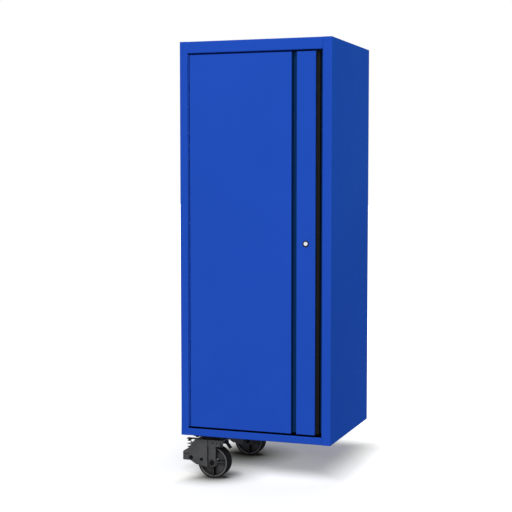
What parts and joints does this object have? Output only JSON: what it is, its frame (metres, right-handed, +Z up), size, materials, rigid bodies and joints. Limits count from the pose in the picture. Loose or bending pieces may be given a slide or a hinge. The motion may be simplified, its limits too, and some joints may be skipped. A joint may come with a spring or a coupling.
{
  "type": "tool chest side locker",
  "caption": "Tall steel side locker with an inset hinged door, flush pull strip, cam lock, inner shelves and braked swivel casters under its free side.",
  "frame": {"origin": "centre of the outer face of the right side, which is the centre of the four bolt holes that fix the locker to a roller cabinet", "axes": "+X out of the right side towards the roller cabinet, +Y to the back, +Z up; the door faces -Y"},
  "size_m": [0.621, 0.559, 1.712],
  "materials": {
    "blue_paint": "gloss powder coat",
    "zinc_steel": "zinc plated",
    "caster_steel": "grey zinc, dulled",
    "wheel_iron": "grey paint",
    "tyre": "satin",
    "seal_rubber": "matte",
    "dark_trim": "matte",
    "magnet": "ferrite",
    "lock_bezel": "black",
    "lock_face": "bright"
  },
  "bodies": {
    "cabinet": {"left_side_panel": "blue_paint", "right_side_panel": "blue_paint", "top_panel": "blue_paint", "bottom_panel": "blue_paint", "back_panel": "blue_paint", "floor_panel": "blue_paint", "caster_channel": "blue_paint", "bolting_plates": "zinc_steel", "left_front_standard": "zinc_steel", "left_rear_standard": "zinc_steel", "right_front_standard": "zinc_steel", "right_rear_standard": "zinc_steel", "shelf_1": "blue_paint", "shelf_2": "blue_paint", "shelf_3": "blue_paint", "shelf_clips": "zinc_steel", "hinge_frame_leaf": "blue_paint", "hinge_pin": "zinc_steel", "hinge_frame_rivets": "zinc_steel", "door_seal": "seal_rubber", "catch_housings": "dark_trim", "catch_magnets": "magnet", "caster_bolts": "caster_steel", "caster_nuts": "zinc_steel", "front_caster_plate": "caster_steel", "front_kingpin": "caster_steel", "rear_caster_plate": "caster_steel", "rear_kingpin": "caster_steel"},
    "door": {"door_skin": "blue_paint", "door_inner_panel": "blue_paint", "door_stiffeners": "blue_paint", "pull_channel": "blue_paint", "pull_strip": "blue_paint", "strip_end_caps": "blue_paint", "strip_screws": "zinc_steel", "finger_trim": "dark_trim", "hinge_door_leaf": "blue_paint", "hinge_door_rivets": "zinc_steel", "catch_strikes": "zinc_steel", "lock_housing": "lock_bezel", "lock_nut": "zinc_steel"},
    "lock": {"lock_plug": "lock_face", "lock_cam": "zinc_steel", "cam_screw": "zinc_steel"},
    "front_swivel": {"front_fork": "caster_steel", "front_axle": "caster_steel", "front_brake_bracket": "caster_steel", "front_brake_spring": "caster_steel", "front_wheel_guard": "caster_steel"},
    "front_wheel": {"front_wheel_core": "wheel_iron", "front_tyre": "tyre"},
    "front_pedal": {"front_brake_pedal": "caster_steel"},
    "rear_swivel": {"rear_fork": "caster_steel", "rear_axle": "caster_steel", "rear_brake_bracket": "caster_steel", "rear_brake_spring": "caster_steel", "rear_wheel_guard": "caster_steel"},
    "rear_wheel": {"rear_wheel_core": "wheel_iron", "rear_tyre": "tyre"},
    "rear_pedal": {"rear_brake_pedal": "caster_steel"}
  },
  "joints": [
    {"name": "door_hinge", "type": "hinge", "parent": "cabinet", "child": "door", "pos_m": [-0.57575, -0.2765, 0], "axis": [0, 0, -1], "range_deg": [0, 120]},
    {"name": "lock_turn", "type": "hinge", "parent": "door", "child": "lock", "pos_m": [-0.099, -0.278, -0.0035], "axis": [0, -1, 0], "range_deg": [0, 90]},
    {"name": "front_caster_swivel", "type": "hinge", "parent": "cabinet", "child": "front_swivel", "pos_m": [-0.512, -0.208, -0.7685], "axis": [0, 0, 1], "continuous": true},
    {"name": "front_wheel_spin", "type": "hinge", "parent": "front_swivel", "child": "front_wheel", "pos_m": [-0.496, -0.208, -0.88], "axis": [0, 1, 0], "continuous": true},
    {"name": "front_brake_press", "type": "hinge", "parent": "front_swivel", "child": "front_pedal", "pos_m": [-0.584, -0.208, -0.8645], "axis": [0, -1, 0], "range_deg": [0, 10], "deforming": ["front_brake_spring"]},
    {"name": "rear_caster_swivel", "type": "hinge", "parent": "cabinet", "child": "rear_swivel", "pos_m": [-0.512, 0.208, -0.7685], "axis": [0, 0, 1], "continuous": true},
    {"name": "rear_wheel_spin", "type": "hinge", "parent": "rear_swivel", "child": "rear_wheel", "pos_m": [-0.496, 0.208, -0.88], "axis": [0, 1, 0], "continuous": true},
    {"name": "rear_brake_press", "type": "hinge", "parent": "rear_swivel", "child": "rear_pedal", "pos_m": [-0.584, 0.208, -0.8645], "axis": [0, -1, 0], "range_deg": [0, 10], "deforming": ["rear_brake_spring"]}
  ]
}
